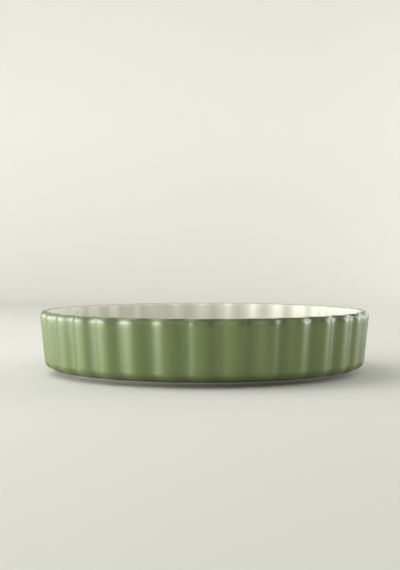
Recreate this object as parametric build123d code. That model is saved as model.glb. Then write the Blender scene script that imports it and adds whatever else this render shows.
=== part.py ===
from build123d import *
import math
import os

# Fluted quiche dish, in millimetres. It stands on Z = 0 about the Z axis, and a lobe's crest faces -Y.
# Radii of fluted outlines are taken at the lobes' crests, the furthest out that each outline goes.

# Flutes: rounded lobes with narrower grooves between them, all round the wall
flute_count = 33
flute_depth = 3.1           # from a lobe's crest in to the bottom of a groove, outside
inner_flute_depth = 2.2     # the same inside, where the corners of the flutes are softer
lobe_share = 0.55           # of each flute's pitch that its lobe takes, at half the depth

# Lip: rounded over from the wall's top outside, up to its crest and down to the mouth
rim_diameter = 260.0        # across the top of the wall, where the dish is widest
rim_height = 49.0           # the crest of the lip above the table
lip_reach = 4.4             # from the crest out to the widest line
lip_drop = 4.4              # from the crest down to the widest line
inner_roll_drop = 2.4       # from the crest down to the wall's inside, where the lip's rounding ends

# Wall, heel and floor
wall_thickness = 6.0
wall_lean = 3.5             # how much the wall draws in from the lip down to the heel
heel_rise = 7.2             # from the heel's end under the dish up to the wall
heel_reach = 13.0           # how far the heel turns in under the wall
bare_edge_height = 0.9      # the bare clay below the heel's end, down to the underside
bare_edge_reach = 0.5       # how far it draws in
inner_heel_rise = 8.0       # how far the inside corner climbs from the floor to the wall
inner_heel_reach = 9.5      # how far the inside corner reaches in over the floor
floor_thickness = 6.1

# Foot: a bare ring under the heel, with the underside recessed inside it
foot_height = 2.5
foot_width = 5.0            # on the table
foot_draft = 0.5            # how much wider each side of the foot is where it meets the underside
foot_setback = 5.5          # from the heel's end in to the foot's outer side

# White liner glaze, thickest on the floor and in the corner, from where it thins to nothing at the lip
liner_thickness = 0.6

# Flats in each quarter turn of the lip and of the two corners
lip_steps = 2
corner_steps = 2

rim_radius = rim_diameter / 2
crest_radius = rim_radius - lip_reach
wall_top = rim_height - lip_drop
heel_top = foot_height + bare_edge_height + heel_rise
heel_radius = rim_radius - wall_lean
heel_end_radius = heel_radius - heel_reach
foot_radius = heel_end_radius - foot_setback
floor_height = foot_height + floor_thickness
inner_heel_top = floor_height + inner_heel_rise


def outline(radius, depth, height):
    """One closed line round the dish: smooth through the crest, sides and groove of each flute, or a circle."""
    if not depth:
        return Edge.make_circle(radius, Plane((0, 0, height), x_dir=(0, -1, 0)))
    pitch = 2 * math.pi / flute_count
    side = pitch * lobe_share / 2
    middle = radius - depth / 2
    points = []
    for flute in range(flute_count):
        crest = flute * pitch - math.pi / 2
        for turn, reach in ((0, radius), (side, middle), (pitch / 2, radius - depth), (pitch - side, middle)):
            angle = crest + turn
            points.append(Vector(reach * math.cos(angle), reach * math.sin(angle), height))
    return Edge.make_spline(points, periodic=True)


def band(station, following):
    """The surface between two outlines: flat where both have one height, and straight across elsewhere."""
    outlines = [outline(*station), outline(*following)]
    if station[-1] != following[-1]:
        return Face.make_surface_from_curves(*outlines)
    inner, outer = sorted(outlines, key=lambda edge: edge.length)
    return Face(Wire([outer]), [Wire([inner])])


def solid_round(section, capped):
    """The solid whose section, all the way round, runs through stations: a crest radius, a depth, a height.

    A capped solid reaches the axis at the first and the last station. Any other closes on its first one.
    """
    following = section[1:] if capped else section[1:] + section[:1]
    faces = [band(one, other) for one, other in zip(section, following)]
    if capped:
        faces.extend(Face(Wire([outline(*end)])) for end in (section[0], section[-1]))
    return Solid(Shell(faces))


def wall_radius(height):
    """The glazed wall's crest radius at a height, on the straight run between the heel and the lip."""
    return heel_radius + wall_lean * (height - heel_top) / (wall_top - heel_top)


def quarter_turn(steps):
    """Along and across shares of a quarter turn at even angles, from its end (1, 1) back to its start (0, 0)."""
    angles = [math.pi / 2 * step / steps for step in range(steps, -1, -1)]
    return [(math.sin(angle), 1 - math.cos(angle)) for angle in angles]


def corner(radius, reach, top, rise, depth):
    """Stations of a rounded corner from its lower end, where the flutes have faded out, up to the wall."""
    stations = []
    for down, inward in quarter_turn(corner_steps):
        stations.append((radius - reach * inward, depth * (1 - inward), top - rise * down))
    return stations


def outer_side():
    """Outside: from where the heel ends, up the wall and over the lip to its crest."""
    stations = corner(heel_radius, heel_reach, heel_top, heel_rise, flute_depth)
    for out, below in quarter_turn(lip_steps):
        stations.append((crest_radius + lip_reach * out, flute_depth, rim_height - lip_drop * below))
    return stations


def inner_side(cover):
    """Inside, from the edge of the floor up the wall to the mouth: the liner's face, or a cover behind it."""
    radius = wall_radius(inner_heel_top) - wall_thickness + cover
    reach = inner_heel_reach + cover
    rise = inner_heel_rise + cover
    stations = corner(radius, reach, inner_heel_top, rise, inner_flute_depth)
    mouth_height = rim_height - inner_roll_drop
    stations.append((wall_radius(mouth_height) - wall_thickness, inner_flute_depth, mouth_height))
    return stations


def underside():
    """The underside, from the recess over the foot ring to the bare edge's lower end."""
    inner_radius = foot_radius - foot_width
    return [
        (inner_radius - foot_draft, 0, foot_height),
        (inner_radius, 0, 0),
        (foot_radius, 0, 0),
        (foot_radius + foot_draft, 0, foot_height),
        (heel_end_radius - bare_edge_reach, 0, foot_height),
    ]


def glazed_body():
    """The stoneware under its coloured outside glaze: floor, foot ring, heel, wall and lip in one piece."""
    return solid_round(underside() + outer_side() + inner_side(liner_thickness)[::-1], capped=True)


def liner_glaze():
    """The white glaze that lines the floor, the corner and the wall up to the mouth."""
    return solid_round(inner_side(liner_thickness) + inner_side(0)[-2::-1], capped=True)


parts = {
    "glazed_body": glazed_body(),
    "liner_glaze": liner_glaze(),
}
os.makedirs("parts", exist_ok=True)
for node, shape in parts.items():
    export_step(shape, f"parts/{node}.step")
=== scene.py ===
import math

import bmesh
import bpy
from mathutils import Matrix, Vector


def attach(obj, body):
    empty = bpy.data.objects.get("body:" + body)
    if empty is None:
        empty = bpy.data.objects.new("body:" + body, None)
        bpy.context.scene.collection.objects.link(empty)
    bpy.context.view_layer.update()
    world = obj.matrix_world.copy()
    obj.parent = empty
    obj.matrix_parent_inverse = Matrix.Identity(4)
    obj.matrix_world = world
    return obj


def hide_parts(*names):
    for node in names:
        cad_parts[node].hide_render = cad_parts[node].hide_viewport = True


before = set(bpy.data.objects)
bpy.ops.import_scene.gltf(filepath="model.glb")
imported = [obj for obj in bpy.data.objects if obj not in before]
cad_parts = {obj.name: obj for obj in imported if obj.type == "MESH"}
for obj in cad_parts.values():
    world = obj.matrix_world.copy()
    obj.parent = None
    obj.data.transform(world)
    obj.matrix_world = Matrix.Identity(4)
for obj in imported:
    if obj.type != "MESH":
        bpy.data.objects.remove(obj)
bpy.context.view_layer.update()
bpy.ops.object.select_all(action="DESELECT")

# A fluted quiche dish. It stands on Z = 0 about the Z axis, and a lobe's crest faces -Y.
# Its section is laid out in millimetres and made in metres.
# Radii of fluted outlines are taken at the lobes' crests, the furthest out that each outline goes.
mm = 0.001

# Flutes
flute_count = 33
flute_depth = 3.2               # from a lobe's crest in to the bottom of a groove, outside
inner_flute_depth = 2.3         # the same inside
lobe_share = 0.565              # of each flute's pitch that its lobe takes, and its groove takes the rest
pitch = 2 * math.pi / flute_count

# Lip
rim_radius = 129.99             # at the top of the wall, where the dish is widest
rim_height = 48.995             # the crest of the lip above the table
lip_reach = 2.6                 # from the crest out to the widest line
lip_drop = 4.4                  # from the crest down to the widest line
mouth_drop = 2.4                # from the crest down to the mouth, where the lip's inner rounding ends
glaze_lap = math.radians(24)    # how far round the inner rounding the green glaze laps over the crest
glaze_step = 0.10               # how far the body steps down at that edge, behind the top of the liner

# Wall, heel and floor
wall_thickness = 6.0
wall_lean = 3.5                 # how much the wall draws in from the lip down to the heel
heel_bottom = 3.4
heel_rise = 7.2                 # from the heel's end under the dish up to the wall
heel_reach = 13.0               # how far the heel turns in under the wall
heel_fade = 0.8                 # power by which the flutes fade out with the heel's turn
floor_height = 8.6
inner_corner_rise = 8.0
inner_corner_reach = 9.5
liner_thickness = 0.5

# Foot ring, the bare edge outside it and the recess inside it
foot_radius = 108.0
foot_width = 5.0
foot_draft = 0.5                # how much wider each side of the foot is where it meets the underside
foot_fillet = 0.4               # rounding where the foot meets the underside
foot_height = 2.5
recess_margin = 3.0             # from the foot's inner side to where the underside is closed to the axis
bare_edge_inset = 0.22          # how far the bare edge lies inside the end of the glaze
glaze_edge_height = 0.12        # of the glaze's lower edge, where it hangs over the bare edge

# Roundings, as points: in from the foot's side and up from the table, and in from the bare edge's side
# and up from the underside
foot_rounding = ((-0.1, 0.6), (0.15, 0.18), (0.6, 0))
bare_edge_rounding = ((0.6, 0), (0.25, 0.08), (0.06, 0.28), (0, 0.5))

# Outlines in each stretch of the section, and the upright lines that cross them
lines_per_flute = 16
heel_outlines = 14
wall_outlines = 10
lip_outlines = 12
lap_outlines = 3
roll_outlines = 4               # of the lip's inner rounding, behind the liner
inside_outlines = 6             # of the wall and of the corner, behind the liner
liner_roll_outlines = 8         # the same on the liner's face
liner_inside_outlines = 10

# Rings that close a round opening, each a share of the one before
plain_rings = (0.8, 0.6, 0.6, 0.5)
floor_rings = (0.92, 0.85, 0.8, 0.7, 0.6, 0.5, 0.4)

# Small measures
least_depth = 1e-6              # millimetres: an outline with a smaller flute depth is a plain circle
join_gap = 0.00001              # metres: points nearer than this become one
find_gap = 0.00002              # metres: how near to its place a point is looked for
smooth_angle = math.radians(40)     # faces that meet at less than this are shaded as one

crest_radius = rim_radius - lip_reach
wall_top = rim_height - lip_drop
heel_top = heel_bottom + heel_rise
heel_radius = rim_radius - wall_lean
heel_end_radius = heel_radius - heel_reach


def lobe_and_groove(turn, radius, depth):
    """How far the outline lies inside its crest at a turn from 0, a lobe's crest, to 1, a groove's bottom.

    The lobe and the groove are circular arcs that meet in one tangent.
    """
    if depth < least_depth:
        return 0.0
    half = radius * pitch / 2
    lobe, groove = half * lobe_share, half * (1 - lobe_share)
    lobe_drop, groove_drop = depth * lobe_share, depth * (1 - lobe_share)
    across = turn * half
    if across <= lobe:
        bend = (lobe ** 2 + lobe_drop ** 2) / (2 * lobe_drop)
        return bend - math.sqrt(bend ** 2 - across ** 2)
    bend = (groove ** 2 + groove_drop ** 2) / (2 * groove_drop)
    return depth - bend + math.sqrt(bend ** 2 - (half - across) ** 2)


def wall_radius(height):
    """The wall's outer crest radius at a height, on the straight run between the heel and the lip."""
    return heel_radius + wall_lean * (height - heel_top) / (wall_top - heel_top)


mouth_radius = wall_radius(rim_height - mouth_drop) - wall_thickness


# Section of the dish, as stations of crest radius, flute depth and height.
def foot_stations():
    """From the recess out over the foot ring to the bare edge, and up it to the glaze's end."""
    inner = foot_radius - foot_width
    edge = heel_end_radius - bare_edge_inset
    stations = [
        (inner - foot_draft - recess_margin, 0, foot_height),
        (inner - foot_draft - foot_fillet, 0, foot_height),
        (inner - foot_draft, 0, foot_height - foot_fillet),
    ]
    stations += [(inner + into, 0, up) for into, up in foot_rounding]
    stations.append((inner + foot_width / 2, 0, 0))
    stations += [(foot_radius - into, 0, up) for into, up in reversed(foot_rounding)]
    stations.append((foot_radius + foot_draft, 0, foot_height - foot_fillet))
    stations.append((foot_radius + foot_draft + foot_fillet, 0, foot_height))
    stations += [(edge - into, 0, foot_height + up) for into, up in bare_edge_rounding]
    stations.append((edge, 0, heel_bottom - glaze_edge_height))
    return stations


def heel_stations():
    """From the glaze's end under the dish round the heel to the wall."""
    stations = [(heel_end_radius, 0, heel_bottom - glaze_edge_height)]
    for step in range(1, heel_outlines + 1):
        angle = math.pi / 2 * step / heel_outlines
        out, up = math.sin(angle), 1 - math.cos(angle)
        depth = flute_depth * out ** heel_fade
        stations.append((heel_end_radius + heel_reach * out, depth, heel_bottom + heel_rise * up))
    return stations


def wall_stations():
    """Up the outside of the wall to the lip."""
    stations = []
    for step in range(1, wall_outlines + 1):
        height = heel_top + (wall_top - heel_top) * step / wall_outlines
        stations.append((wall_radius(height), flute_depth, height))
    return stations


def lip_stations():
    """Over the lip: from the wall's top up to the crest, and on to where the green glaze's lap ends."""
    stations = []
    for step in range(1, lip_outlines + 1):
        angle = math.pi / 2 * step / lip_outlines
        radius = crest_radius + lip_reach * math.cos(angle)
        stations.append((radius, flute_depth, wall_top + lip_drop * math.sin(angle)))
    for step in range(1, lap_outlines + 1):
        stations.append(roll_station(glaze_lap * step / lap_outlines, 0))
    return stations


def roll_station(angle, behind):
    """A station on or behind the lip's inner rounding, from 0 at the crest to a quarter turn at the mouth."""
    out, down = math.sin(angle), 1 - math.cos(angle)
    radius = crest_radius - (crest_radius - mouth_radius - behind) * out
    height = rim_height - mouth_drop * down - behind * math.cos(angle)
    return radius, flute_depth + (inner_flute_depth - flute_depth) * out, height


def roll_stations(cover, steps):
    """Down the inner rounding from the green glaze's edge to the mouth, on or behind the liner's face."""
    stations = []
    for step in range(steps + 1):
        angle = glaze_lap + (math.pi / 2 - glaze_lap) * step / steps
        behind = glaze_step + (cover - glaze_step) * step / steps if cover else 0
        stations.append(roll_station(angle, behind))
    return stations


def inside_stations(cover, steps):
    """From the mouth down the wall and round the corner to the floor, on or behind the liner's face."""
    corner_top = floor_height + inner_corner_rise
    mouth_height = rim_height - mouth_drop
    stations = []
    for step in range(1, steps + 1):
        height = mouth_height + (corner_top - mouth_height) * step / steps
        stations.append((wall_radius(height) - wall_thickness + cover, inner_flute_depth, height))
    radius = wall_radius(corner_top) - wall_thickness + cover
    reach, rise = inner_corner_reach + cover, inner_corner_rise + cover
    for step in range(1, steps + 1):
        angle = math.pi / 2 * step / steps
        inward = 1 - math.cos(angle)
        depth = inner_flute_depth * (1 - inward)
        stations.append((radius - reach * inward, depth, corner_top - rise * math.sin(angle)))
    return stations


def run_of(stations):
    """Length along the section from the crest: below zero inside the dish and above zero outside."""
    lengths = [0.0]
    for one, other in zip(stations, stations[1:]):
        lengths.append(lengths[-1] + math.hypot(other[0] - one[0], other[2] - one[2]))
    from_crest = [(rim_height - height, abs(radius - crest_radius)) for radius, depth, height in stations]
    crest = from_crest.index(min(from_crest))
    return [lengths[crest] - length for length in lengths]


foot = foot_stations()
outside = foot + heel_stations() + wall_stations() + lip_stations()
behind_liner = roll_stations(liner_thickness, roll_outlines)
behind_liner += inside_stations(liner_thickness, inside_outlines)
liner_face = roll_stations(0, liner_roll_outlines) + inside_stations(0, liner_inside_outlines)
body_section = outside + behind_liner
liner_section = behind_liner[::-1] + liner_face

# Where the finishes change on the body, as metres along its section from the crest
body_run = [run * mm for run in run_of(body_section)]
clay_from = body_run[len(foot)]                             # the glaze's end, and bare clay from there on
heel_from = body_run[len(foot) + heel_outlines - 1]         # the top of the heel
white_from = body_run[len(outside) - 1]                     # the green glaze's edge inside the crest


# Modelling in edit mode
def turn_of(vert):
    """How far round the dish a vertex lies from -Y, either way."""
    return abs(math.remainder(math.atan2(vert.co.y, vert.co.x) + math.pi / 2, 2 * math.pi))


def reach_of(vert):
    """How far from the axis a vertex lies."""
    return math.hypot(vert.co.x, vert.co.y)


def select_where(mesh, wanted):
    """Selects the vertices that are wanted, with the edges and faces between them, and no others."""
    bpy.ops.mesh.select_all(action="DESELECT")
    bm = bmesh.from_edit_mesh(mesh)
    for vert in bm.verts:
        if wanted(vert):
            vert.select_set(True)
    bm.select_flush(True)
    bmesh.update_edit_mesh(mesh, loop_triangles=False, destructive=False)


def shape_line(mesh, station, run):
    """Brings the selected outline of a flute onto its station, pair by pair from its crest to its grooves."""
    radius, depth, height = station
    half_lines = lines_per_flute / 2
    bm = bmesh.from_edit_mesh(mesh)
    layer = bm.verts.layers.float["along"]
    bm.verts.index_update()
    pairs = {}
    for vert in bm.verts:
        if vert.select:
            vert[layer] = run * mm
            step = round(turn_of(vert) / (pitch / 2) * half_lines)
            pairs.setdefault(step, (reach_of(vert), set()))[1].add(vert.index)
    line = set().union(*(indices for reach, indices in pairs.values()))
    for step, (reach, indices) in pairs.items():
        select_where(mesh, lambda vert: vert.index in indices)
        wanted = radius - lobe_and_groove(step / half_lines, radius, depth)
        grow = wanted * mm / reach
        bpy.ops.transform.resize(value=(grow, grow, 1), center_override=(0, 0, height * mm))
    select_where(mesh, lambda vert: vert.index in line)


def one_flute(name, stations):
    """One flute, from groove to groove: an arc of the first outline, extruded from station to station."""
    radius, depth, height = stations[0]
    bpy.ops.mesh.primitive_circle_add(
        vertices=flute_count * lines_per_flute, radius=radius * mm, location=(0, 0, height * mm))
    piece = bpy.context.object
    piece.name = piece.data.name = name
    bpy.ops.object.transform_apply(location=True, rotation=True, scale=True)
    mesh = piece.data
    bpy.ops.object.mode_set(mode="EDIT")
    just_over_half = pitch * 0.505
    select_where(mesh, lambda vert: turn_of(vert) > just_over_half)
    bpy.ops.mesh.delete(type="VERT")
    bmesh.from_edit_mesh(mesh).verts.layers.float.new("along")
    bpy.ops.mesh.select_all(action="SELECT")
    runs = run_of(stations)
    shape_line(mesh, stations[0], runs[0])
    for number in range(1, len(stations)):
        rise = (stations[number][2] - stations[number - 1][2]) * mm
        bpy.ops.mesh.extrude_edges_move(TRANSFORM_OT_translate={"value": (0, 0, rise)})
        shape_line(mesh, stations[number], runs[number])
    bpy.ops.object.mode_set(mode="OBJECT")
    return piece


def all_round(piece):
    """Copies the one flute round the dish and joins the copies at the grooves."""
    bpy.ops.object.mode_set(mode="EDIT")
    bpy.ops.mesh.select_all(action="SELECT")
    bpy.ops.mesh.spin(
        steps=flute_count - 1, dupli=True, angle=2 * math.pi - pitch, center=(0, 0, 0), axis=(0, 0, 1))
    bpy.ops.mesh.select_all(action="SELECT")
    bpy.ops.mesh.remove_doubles(threshold=join_gap)
    bpy.ops.object.mode_set(mode="OBJECT")


def close_to_the_axis(piece, station, rings):
    """Fills the round opening at a station with rings that draw in to a pole on the axis."""
    mesh = piece.data
    radius, height = station[0] * mm, station[2] * mm
    bpy.ops.object.mode_set(mode="EDIT")
    select_where(
        mesh, lambda vert: abs(reach_of(vert) - radius) < find_gap and abs(vert.co.z - height) < find_gap)
    for share in rings:
        bpy.ops.mesh.extrude_edges_move(TRANSFORM_OT_translate={"value": (0, 0, 0)})
        bpy.ops.transform.resize(value=(share, share, 1), center_override=(0, 0, height))
    bpy.ops.mesh.extrude_edges_move(TRANSFORM_OT_translate={"value": (0, 0, 0)})
    bpy.ops.mesh.merge(type="CENTER")
    bpy.ops.object.mode_set(mode="OBJECT")


def finish_piece(piece, node, finish):
    """Turns the faces outward, smooths them, lays on the finish and hands the piece over."""
    bpy.ops.object.mode_set(mode="EDIT")
    bpy.ops.mesh.select_all(action="SELECT")
    bpy.ops.mesh.normals_make_consistent(inside=False)
    bpy.ops.object.mode_set(mode="OBJECT")
    bpy.ops.object.shade_smooth_by_angle(angle=smooth_angle)
    piece.data.materials.append(finish)
    piece.select_set(False)
    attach(piece, "root")
    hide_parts(node)


# Colours of the finishes, in linear light
sage = (0.099, 0.148, 0.023)
light_sage = (0.112, 0.160, 0.028)
olive = (0.108, 0.133, 0.019)           # in the mottling
groove_green = (0.066, 0.097, 0.014)    # where the glaze pools in the grooves
lip_shade_green = (0.046, 0.070, 0.010)       # painted shade, in soft patches over the lip and fading out just below it
thin_green = (0.17, 0.21, 0.10)         # where the glaze is thin, along the lip's crest
heel_shade_green = (0.022, 0.032, 0.009)      # painted shade where the heel turns under, growing towards the glaze's end
dark_speck = (0.050, 0.064, 0.020)
buff = (0.36, 0.355, 0.27)              # bare clay
light_buff = (0.44, 0.435, 0.34)
foot_shade_buff = (0.20, 0.195, 0.155)      # painted shade on the foot's lowest part, where the contact shadow falls
warm_white = (0.60, 0.595, 0.50)
light_white = (0.64, 0.635, 0.54)
iron_speck = (0.50, 0.44, 0.33)
studio_cream = (0.675, 0.673, 0.612)


def new_finish(name):
    """A material, its nodes and its shader."""
    finish = bpy.data.materials.new(name)
    finish.use_nodes = True
    tree = finish.node_tree
    return finish, tree, tree.nodes["Principled BSDF"]


def noise(tree, place, scale, detail, roughness=0.55):
    """Cloudy variation from about 0.3 to 0.7, the finer the higher its scale."""
    node = tree.nodes.new("ShaderNodeTexNoise")
    node.inputs["Scale"].default_value = scale
    node.inputs["Detail"].default_value = detail
    node.inputs["Roughness"].default_value = roughness
    tree.links.new(place, node.inputs["Vector"])
    return node.outputs["Fac"]


def sums(tree, operation, one, other=None):
    """One sum of one or two values, each a number or another node's result."""
    node = tree.nodes.new("ShaderNodeMath")
    node.operation = operation
    for socket, value in zip(node.inputs, (one, other)):
        if isinstance(value, (int, float)):
            socket.default_value = value
        elif value is not None:
            tree.links.new(value, socket)
    return node.outputs[0]


def span(tree, value, low, high, to_low=0.0, to_high=1.0):
    """Goes smoothly from one number to another while the value runs from low to high."""
    node = tree.nodes.new("ShaderNodeMapRange")
    node.interpolation_type = "SMOOTHSTEP"
    for name, number in (("From Min", low), ("From Max", high), ("To Min", to_low), ("To Max", to_high)):
        node.inputs[name].default_value = number
    tree.links.new(value, node.inputs["Value"])
    return node.outputs["Result"]


def blend(tree, share, one, other):
    """Mixes a share of the other colour into the one, each a colour or another node's result."""
    node = tree.nodes.new("ShaderNodeMix")
    node.data_type = "RGBA"
    first, second = node.inputs[6], node.inputs[7]
    tree.links.new(share, node.inputs[0])
    for socket, value in ((first, one), (second, other)):
        if isinstance(value, tuple):
            socket.default_value = (*value, 1.0)
        else:
            tree.links.new(value, socket)
    return node.outputs[2]


def relief(tree, height, depth, strength, under=None):
    """Unevenness of the surface, laid over another where there is one."""
    node = tree.nodes.new("ShaderNodeBump")
    node.inputs["Distance"].default_value = depth
    node.inputs["Strength"].default_value = strength
    tree.links.new(height, node.inputs["Height"])
    if under:
        tree.links.new(under, node.inputs["Normal"])
    return node.outputs[0]


def glaze_noise(tree):
    """What both glazes share: the place on the piece, a soft cloudiness and a finer mottling."""
    place = tree.nodes.new("ShaderNodeTexCoord").outputs["Object"]
    cloud = noise(tree, place, scale=22.0, detail=4.0)
    mottle = noise(tree, place, scale=120.0, detail=5.0, roughness=0.6)
    return place, cloud, mottle


def white_glaze(tree, cloud):
    """Warm white with soft lighter clouds."""
    return blend(tree, span(tree, cloud, 0.3, 0.7), warm_white, light_white)


def green_glaze(tree, place, cloud, mottle, position, along):
    """Cloudy sage green, darker in the grooves, with painted shade over the lip and where the heel turns
    under, and thin along the crest.
    """
    angle = sums(tree, "ARCTAN2", position.outputs["Y"], position.outputs["X"])
    from_front = sums(tree, "ADD", angle, math.pi / 2)
    lobes = sums(tree, "COSINE", sums(tree, "MULTIPLY", from_front, float(flute_count)))

    green = blend(tree, span(tree, cloud, 0.35, 0.65), sage, light_sage)
    green = blend(tree, span(tree, mottle, 0.35, 0.72, to_high=0.5), green, olive)
    green = blend(tree, span(tree, lobes, -1.0, 0.1, to_low=0.35, to_high=0.0), green, groove_green)
    # Painted shade over the lip, in soft patches, fading out just below it
    lip_shade = span(tree, along, 7.5 * mm, 4.5 * mm, to_high=0.65)
    patches = span(tree, noise(tree, place, scale=48.0, detail=2.0), 0.38, 0.58, to_low=0.25)
    green = blend(tree, sums(tree, "MULTIPLY", lip_shade, patches), green, lip_shade_green)
    thin = sums(tree, "MULTIPLY", span(tree, along, 1.4 * mm, 0.2 * mm), 0.3)
    green = blend(tree, thin, green, thin_green)
    # Painted shade where the heel turns under the dish
    heel_shade = span(tree, along, heel_from - 3 * mm, heel_from + 11 * mm, to_high=0.8)
    green = blend(tree, heel_shade, green, heel_shade_green)
    specks = span(tree, noise(tree, place, scale=1500.0, detail=1.0), 0.74, 0.80, to_high=0.18)
    return blend(tree, specks, green, dark_speck)


def green_over_clay():
    """Green glaze outside, white inside the lip and bare clay on the foot, on one body."""
    finish, tree, shader = new_finish("green_glaze_on_stoneware")
    place, cloud, mottle = glaze_noise(tree)
    position = tree.nodes.new("ShaderNodeSeparateXYZ")
    tree.links.new(place, position.inputs[0])
    attribute = tree.nodes.new("ShaderNodeAttribute")
    attribute.attribute_name = "along"
    along = attribute.outputs["Fac"]

    # The edges between the finishes wander a little
    wander = sums(tree, "SUBTRACT", noise(tree, place, scale=260.0, detail=2.0), 0.5)
    edge = sums(tree, "ADD", along, sums(tree, "MULTIPLY", wander, 0.6 * mm))
    inside = span(tree, edge, white_from - 0.1 * mm, white_from - 0.4 * mm)
    bare = span(tree, edge, clay_from - 0.2 * mm, clay_from + 0.3 * mm)

    clay = blend(tree, span(tree, mottle, 0.3, 0.7), buff, light_buff)
    # Painted shade over the lowest 2 mm of the foot, where the contact shadow falls
    foot_shade = span(tree, position.outputs["Z"], 1.9 * mm, 2.4 * mm, to_low=0.75, to_high=0.0)
    clay = blend(tree, foot_shade, clay, foot_shade_buff)
    green = green_glaze(tree, place, cloud, mottle, position, along)
    colour = blend(tree, inside, green, white_glaze(tree, cloud))
    colour = blend(tree, bare, colour, clay)
    tree.links.new(colour, shader.inputs["Base Color"])

    glazed = span(tree, mottle, 0.3, 0.7, to_low=0.34, to_high=0.41)
    roughness = sums(tree, "ADD", glazed, sums(tree, "MULTIPLY", bare, 0.5))
    tree.links.new(roughness, shader.inputs["Roughness"])
    shader.inputs["IOR"].default_value = 1.8

    waves = noise(tree, place, scale=70.0, detail=2.0, roughness=0.4)
    swell = relief(tree, waves, depth=0.4 * mm, strength=0.06)
    fine = noise(tree, place, scale=900.0, detail=2.0)
    grain = relief(tree, fine, depth=0.05 * mm, strength=0.25, under=swell)
    tree.links.new(grain, shader.inputs["Normal"])
    return finish


def white_liner():
    """Warm white glaze on the inside, with a few iron specks."""
    finish, tree, shader = new_finish("white_liner_glaze")
    place, cloud, mottle = glaze_noise(tree)
    specks = span(tree, noise(tree, place, scale=1100.0, detail=1.0), 0.76, 0.82, to_high=0.25)
    colour = blend(tree, specks, white_glaze(tree, cloud), iron_speck)
    tree.links.new(colour, shader.inputs["Base Color"])
    roughness = span(tree, mottle, 0.3, 0.7, to_low=0.36, to_high=0.44)
    tree.links.new(roughness, shader.inputs["Roughness"])
    shader.inputs["IOR"].default_value = 1.52
    waves = noise(tree, place, scale=55.0, detail=2.0, roughness=0.4)
    swell = relief(tree, waves, depth=0.4 * mm, strength=0.05)
    tree.links.new(swell, shader.inputs["Normal"])
    return finish


# The stoneware body
body = one_flute("glazed_stoneware_body", body_section)
all_round(body)
close_to_the_axis(body, body_section[0], plain_rings)
close_to_the_axis(body, body_section[-1], plain_rings)
finish_piece(body, "glazed_body", green_over_clay())

# The liner glaze, a closed coat on the body's inside
liner = one_flute("white_liner_glaze", liner_section)
all_round(liner)
close_to_the_axis(liner, liner_section[0], plain_rings)
close_to_the_axis(liner, liner_section[-1], floor_rings)
finish_piece(liner, "liner_glaze", white_liner())

# Studio
floor_size = 6.0
floor_centre = (0, -1.5, 0)
backdrop_height = 3.5
backdrop_bend = 0.35
world_strength = 0.36
lamps = (
    # name, place, what it points at, width and height, power
    ("window", (-1.4, 0.2, 0.32), (0, 0.1, 0.1), (1.3, 0.6), 15.5),
    ("window_front", (-1.25, -0.55, 0.35), (0, 0, 0.1), (0.8, 0.6), 6),
    ("left_low", (-1.1, -0.25, 0.045), (0, 0, 0.045), (1.3, 0.08), 4.6),
    ("left_top", (-0.7, 0.1, 1.05), (0, 0, 0), (1.1, 1.0), 6.5),
    ("right", (1.45, 0.3, 0.45), (0, 0.1, 0.05), (0.7, 0.6), 6.5),
    ("right_low", (1.1, 0.35, 0.045), (0, 0, 0.045), (0.4, 0.08), 2.2),
    ("right_back", (1.0, 1.15, 0.4), (0, 0, 0.1), (1.2, 0.7), 6.5),
    ("front", (0.1, -1.75, 1.0), (0, 0, 0), (2.4, 0.9), 6.5),
    ("front_low", (0.1, -2.0, 0.3), (0, 0, 0), (2.4, 0.5), 4.5),
)


def studio_sweep():
    """Floor and wall in one pale sweep that bends up behind the dish."""
    bpy.ops.mesh.primitive_plane_add(size=floor_size, location=floor_centre)
    sweep = bpy.context.object
    sweep.name = sweep.data.name = "studio_sweep"
    bpy.ops.object.transform_apply(location=True)
    mesh = sweep.data
    bpy.ops.object.mode_set(mode="EDIT")
    select_where(mesh, lambda vert: vert.co.y > 0)
    bpy.ops.mesh.extrude_edges_move(TRANSFORM_OT_translate={"value": (0, 0, backdrop_height)})
    select_where(mesh, lambda vert: vert.co.y > 0 and vert.co.z < backdrop_height / 2)
    bpy.ops.mesh.bevel(offset=backdrop_bend, segments=24, profile=0.5)
    bpy.ops.object.mode_set(mode="OBJECT")
    bpy.ops.object.shade_smooth()
    finish, tree, shader = new_finish("studio_cream")
    shader.inputs["Base Color"].default_value = (*studio_cream, 1)
    shader.inputs["Roughness"].default_value = 0.8
    mesh.materials.append(finish)
    sweep.select_set(False)


def studio_light(name, place, aim, size, power):
    """A soft rectangular lamp that points at the aim."""
    lamp = bpy.data.lights.new(name, "AREA")
    lamp.shape = "RECTANGLE"
    lamp.size, lamp.size_y = size
    lamp.energy = power
    light = bpy.data.objects.new(name, lamp)
    bpy.context.scene.collection.objects.link(light)
    light.location = place
    light.rotation_euler = (Vector(aim) - Vector(place)).to_track_quat("-Z", "Y").to_euler()


studio_sweep()
for lamp_row in lamps:
    studio_light(*lamp_row)
world = bpy.data.worlds.new("studio")
world.use_nodes = True
world.node_tree.nodes["Background"].inputs["Color"].default_value = (1, 1, 1, 1)
world.node_tree.nodes["Background"].inputs["Strength"].default_value = world_strength
bpy.context.scene.world = world
bpy.context.scene.view_settings.view_transform = "Standard"

# Camera, a little to the right of the front and level, with the picture shifted onto the dish
view_turn = math.radians(1.15)
view_distance = 0.949
view_height = 0.0962
lens = bpy.data.cameras.new("camera")
lens.sensor_fit = "VERTICAL"
lens.sensor_height = 36.0
lens.lens = 75.22
lens.shift_x = -0.0079
lens.shift_y = -0.0603
lens.clip_start, lens.clip_end = 0.01, 50
camera = bpy.data.objects.new("camera", lens)
bpy.context.scene.collection.objects.link(camera)
camera.location = (view_distance * math.sin(view_turn), -view_distance * math.cos(view_turn), view_height)
camera.rotation_euler = (math.pi / 2, 0, view_turn)
bpy.context.scene.camera = camera
